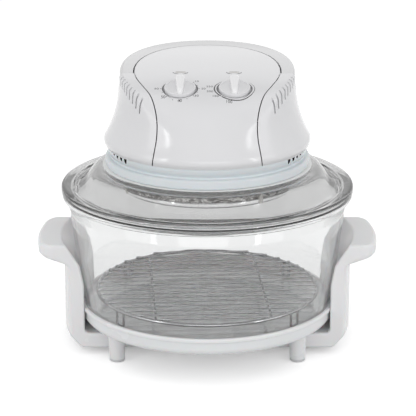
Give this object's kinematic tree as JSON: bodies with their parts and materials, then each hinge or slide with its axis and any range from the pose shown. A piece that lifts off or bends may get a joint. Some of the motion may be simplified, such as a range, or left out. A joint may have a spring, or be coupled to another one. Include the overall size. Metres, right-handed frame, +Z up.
{
  "type": "halogen oven",
  "caption": "Countertop halogen oven: round glass bowl in a footed base with side grips, and a lift-off glass lid carrying a heater and fan head with dials and a folding carry handle.",
  "frame": {"origin": "on the table under the middle of the bowl", "axes": "+Z up, -Y towards the front with the dials, +X to the right seen from the front"},
  "size_m": [0.386, 0.33, 0.3319],
  "materials": {
    "base_plastic": "smooth, satin gloss",
    "shell_plastic": "high gloss",
    "handle_plastic": "gloss",
    "ring_plastic": "faintly blue, translucent gloss",
    "knob_plastic": "gloss",
    "clear_glass": "clear, polished",
    "lamp_glass": "clear quartz",
    "lens_plastic": "translucent",
    "lamp_neon": "small lamp",
    "chrome_wire": "polished",
    "drum_sheet": "bright sheet",
    "plain_steel": "plated",
    "fan_sheet": "pressed sheet",
    "bronze": "sintered",
    "copper_wire": "enamelled winding",
    "core_iron": "laminated",
    "ceramic": "fired ceramic",
    "shield_board": "mica board",
    "black_plastic": "moulded",
    "timer_plastic": "moulded case",
    "plunger_plastic": "moulded",
    "gland_plastic": "moulded",
    "seal_rubber": "pale silicone",
    "pad_rubber": "pale rubber"
  },
  "bodies": {
    "base": {"base_dish": "base_plastic", "rest_pads": "pad_rubber", "feet": "base_plastic", "foot_pads": "pad_rubber", "foot_screws": "plain_steel", "left_arm": "base_plastic", "right_arm": "base_plastic", "arm_screws": "plain_steel"},
    "bowl": {"glass_bowl": "clear_glass"},
    "rack": {"rack_ring": "chrome_wire", "rack_bars": "chrome_wire"},
    "lid": {"glass_lid": "clear_glass", "lid_seal": "seal_rubber", "drum_seal": "seal_rubber", "head_base_ring": "ring_plastic", "head_housing": "shell_plastic", "centre_panel": "shell_plastic", "head_screws": "plain_steel", "handle_pins": "plain_steel", "timer_mechanism": "timer_plastic", "thermostat_body": "black_plastic", "power_lens": "lens_plastic", "heat_lens": "lens_plastic", "pilot_lamps": "lamp_neon", "chassis_plate": "plain_steel", "heat_shield": "shield_board", "drum_spacers": "plain_steel", "drum_screws": "plain_steel", "heater_drum": "drum_sheet", "drum_posts": "ceramic", "halogen_lamp": "lamp_glass", "lamp_holders": "ceramic", "guard_ring": "chrome_wire", "guard_grille": "chrome_wire", "motor_posts": "plain_steel", "lower_bridge": "plain_steel", "upper_bridge": "plain_steel", "motor_bushes": "bronze", "motor_stack": "core_iron", "motor_coil": "copper_wire", "safety_switch": "black_plastic", "terminal_block": "ceramic", "cord_gland": "gland_plastic"},
    "handle": {"carry_handle": "handle_plastic"},
    "timer_dial": {"timer_knob": "knob_plastic", "timer_shaft": "plain_steel"},
    "thermostat_dial": {"thermostat_knob": "knob_plastic", "thermostat_shaft": "plain_steel"},
    "fan": {"motor_shaft": "plain_steel", "motor_rotor": "core_iron", "cooling_fan": "black_plastic", "convection_fan": "fan_sheet", "fan_nut": "plain_steel"},
    "plunger": {"switch_plunger": "plunger_plastic"}
  },
  "joints": [
    {"name": "bowl_lift", "type": "slide", "parent": "base", "child": "bowl", "axis": [0, 0, 1], "range_m": [0, 0.25]},
    {"name": "rack_lift", "type": "slide", "parent": "bowl", "child": "rack", "axis": [0, 0, 1], "range_m": [0, 0.08]},
    {"name": "lid_lift", "type": "slide", "parent": "bowl", "child": "lid", "axis": [0, 0, 1], "range_m": [0, 0.25]},
    {"name": "handle_fold", "type": "hinge", "parent": "lid", "child": "handle", "pos_m": [0, -0.003, 0.31102], "axis": [1, 0, 0], "range_deg": [0, 90]},
    {"name": "switch_press", "type": "slide", "parent": "lid", "child": "plunger", "axis": [0, 0, 1], "range_m": [0, 0.004]},
    {"name": "timer_turn", "type": "hinge", "parent": "lid", "child": "timer_dial", "pos_m": [-0.0295, -0.053, 0.30906], "axis": [0, -0.2609, 0.9654], "range_deg": [-300, 0]},
    {"name": "thermostat_turn", "type": "hinge", "parent": "lid", "child": "thermostat_dial", "pos_m": [0.0295, -0.053, 0.30906], "axis": [0, -0.2609, 0.9654], "range_deg": [-270, 0]},
    {"name": "fan_spin", "type": "hinge", "parent": "lid", "child": "fan", "pos_m": [0, 0, 0.22], "axis": [0, 0, 1], "continuous": true}
  ],
  "couplings": [
    {"joint": "switch_press", "follows": "handle_fold", "m_per_rad": 0.0025}
  ]
}
